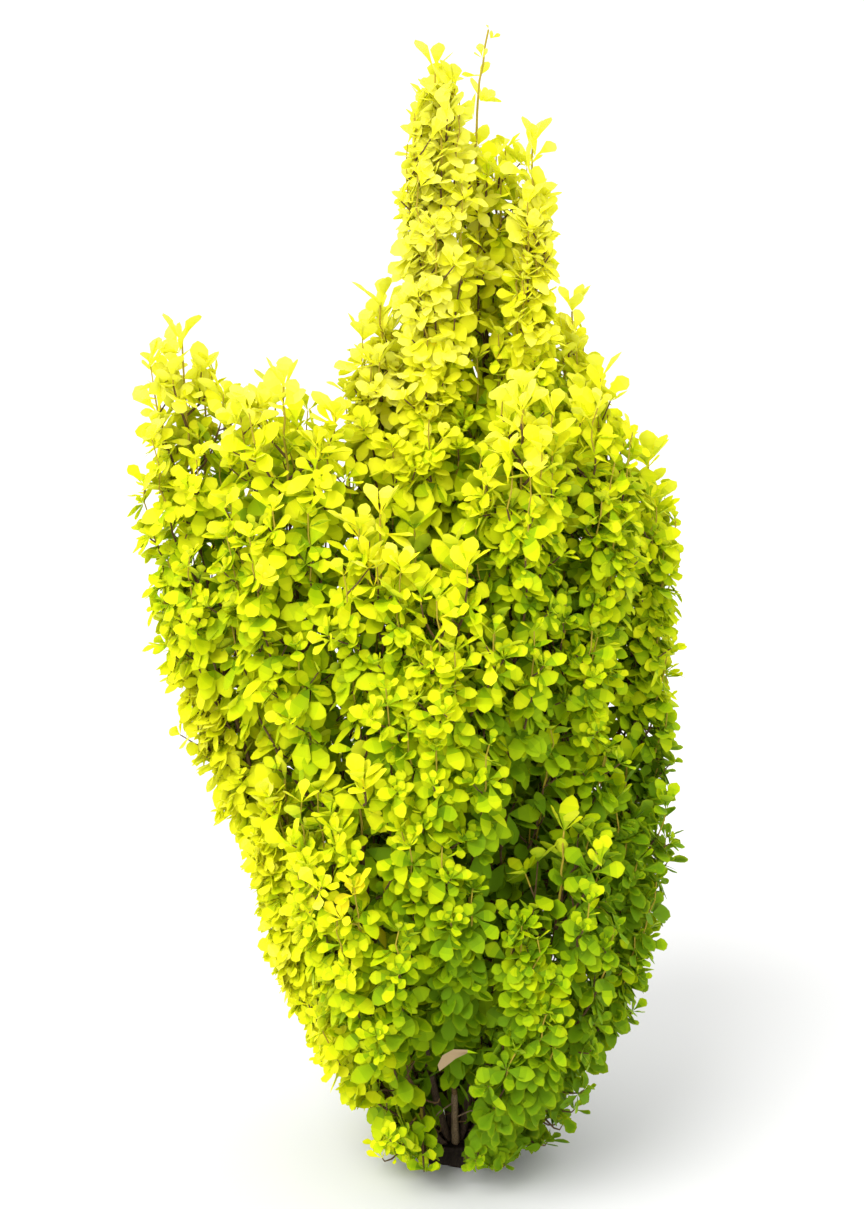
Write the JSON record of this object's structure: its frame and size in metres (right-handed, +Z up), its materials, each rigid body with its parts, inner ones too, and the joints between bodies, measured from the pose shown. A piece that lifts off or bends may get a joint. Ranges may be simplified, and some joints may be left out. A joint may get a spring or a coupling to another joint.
{
  "type": "golden columnar barberry shrub",
  "caption": "Upright fan-shaped garden shrub with small yellow-green leaves on many close columns, cut flat at ground level.",
  "frame": {"origin": "middle of the flat cut under the root crown, at ground level", "axes": "+Z up along the tallest shoots, -Y towards the front that the picture shows, +X to the right of that front"},
  "size_m": [0.4854, 0.3763, 1],
  "materials": {
    "crown_bark": "rough dark brown old bark",
    "bark": "fine-grained brown bark",
    "leaf": "smooth satin leaf, lemon yellow to green"
  },
  "bodies": {
    "root": {"root_crown": "crown_bark", "stem_left_outer": "bark", "stem_left_inner": "bark", "stem_front_left": "bark", "stem_front_middle": "bark", "stem_front_right": "bark", "stem_right_inner": "bark", "stem_right_outer": "bark", "stem_low_left": "bark", "stem_low_front": "bark", "stem_low_right": "bark", "stem_low_side": "bark", "stem_shoulder": "bark", "stem_spire_left": "bark", "stem_spire_main": "bark", "stem_spire_right": "bark", "stem_right_shoulder": "bark", "stem_back_left": "bark", "stem_back_middle": "bark", "stem_back_right": "bark", "stem_low_back_left": "bark", "stem_low_back_right": "bark", "foliage_left_outer": "leaf", "foliage_left_inner": "leaf", "foliage_front_left": "leaf", "foliage_front_middle": "leaf", "foliage_front_right": "leaf", "foliage_right_inner": "leaf", "foliage_right_outer": "leaf", "foliage_low_left": "leaf", "foliage_low_front": "leaf", "foliage_low_right": "leaf", "foliage_low_side": "leaf", "foliage_shoulder": "leaf", "foliage_spire_left": "leaf", "foliage_spire_main": "leaf", "foliage_spire_right": "leaf", "foliage_right_shoulder": "leaf", "foliage_back_left": "leaf", "foliage_back_middle": "leaf", "foliage_back_right": "leaf", "foliage_low_back_left": "leaf", "foliage_low_back_right": "leaf"}
  },
  "joints": []
}
